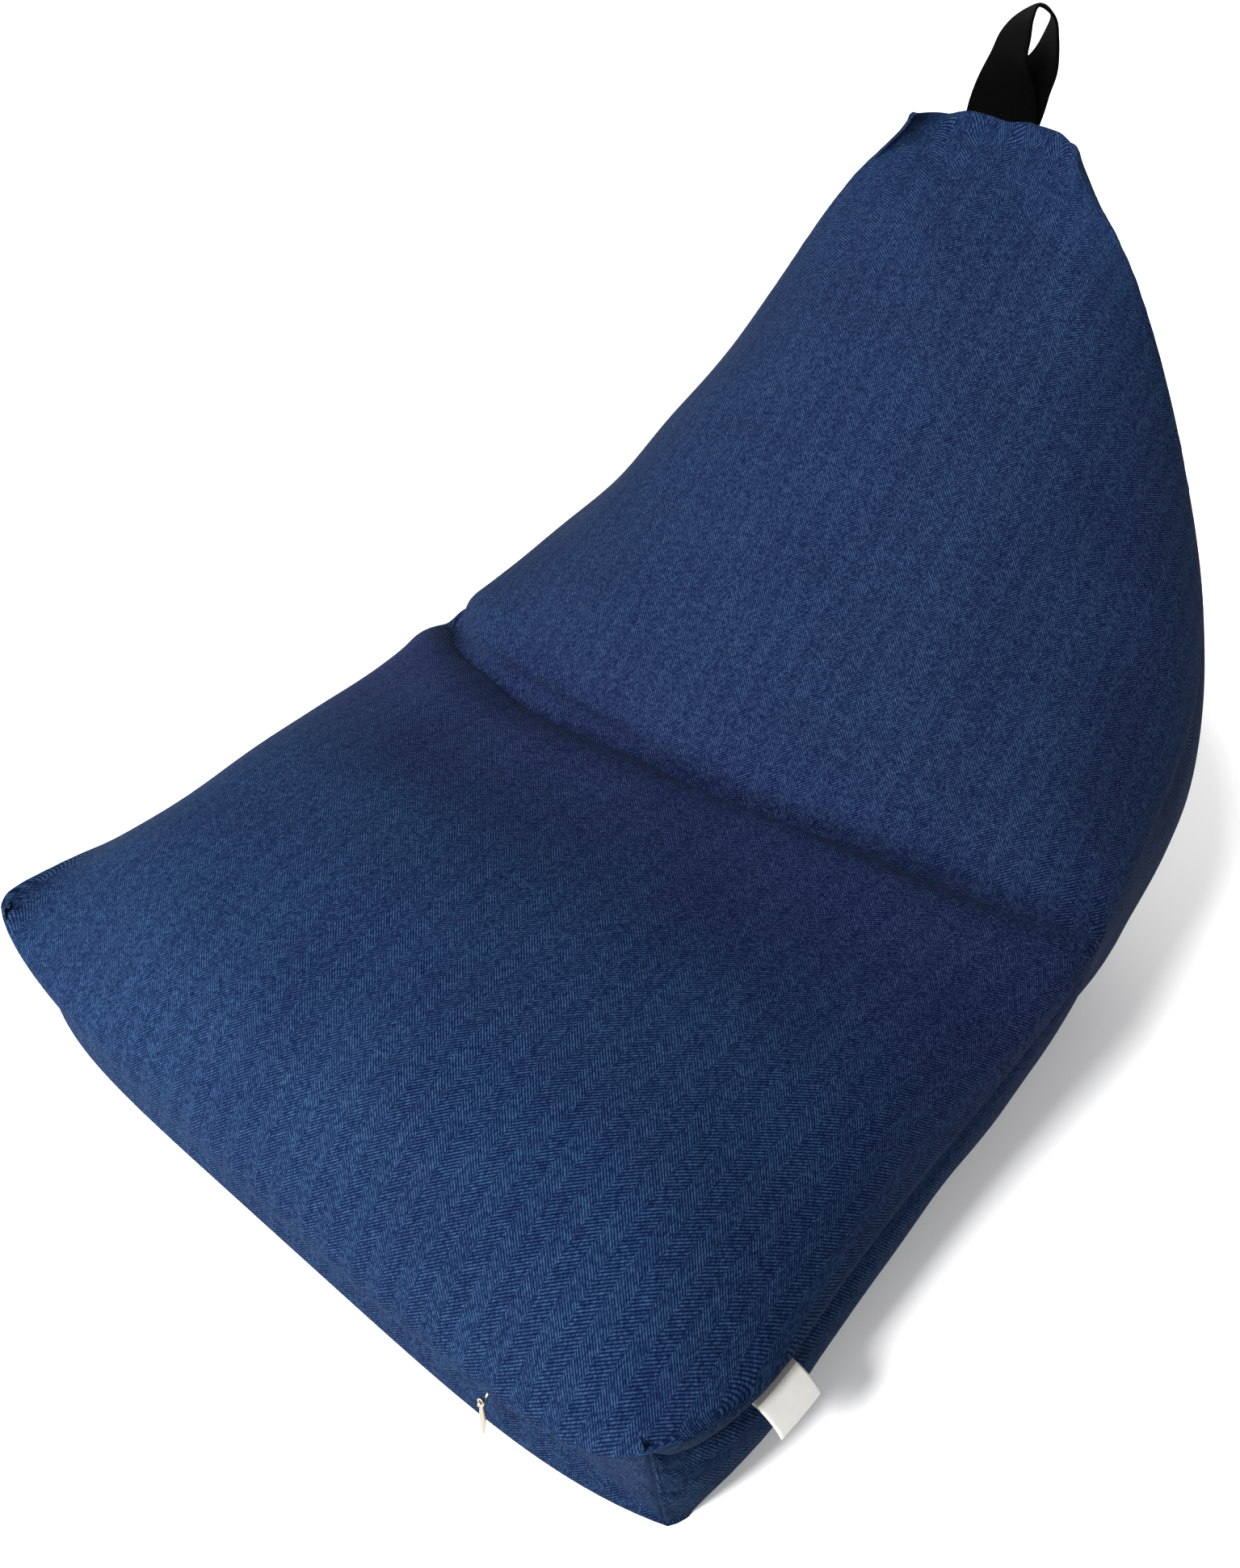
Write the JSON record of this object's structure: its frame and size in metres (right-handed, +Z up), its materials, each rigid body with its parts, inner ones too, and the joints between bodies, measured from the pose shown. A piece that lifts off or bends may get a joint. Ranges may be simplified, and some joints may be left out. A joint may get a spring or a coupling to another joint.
{
  "type": "triangular bean bag chair",
  "caption": "Filled lounger bag with a low seat, a leaning triangular backrest, a crease between them and a webbing carry handle on its short top seam.",
  "frame": {"origin": "on the floor, in the middle of the part's outline seen from above", "axes": "+Z up, the bag faces -Y, +X to the sitter's left, which is the side with the label"},
  "size_m": [0.5914, 0.763, 0.6744],
  "materials": {
    "upholstery_cloth": "blue herringbone weave, lighter threads on darker ones",
    "black_webbing": "flat woven strap",
    "woven_label": "smooth off-white ribbon",
    "zip_metal": "pale nickel plating"
  },
  "bodies": {
    "root": {"bag_body": "upholstery_cloth", "carry_handle": "black_webbing", "side_label": "woven_label", "zip_slider": "zip_metal", "zip_puller": "zip_metal"}
  },
  "joints": []
}
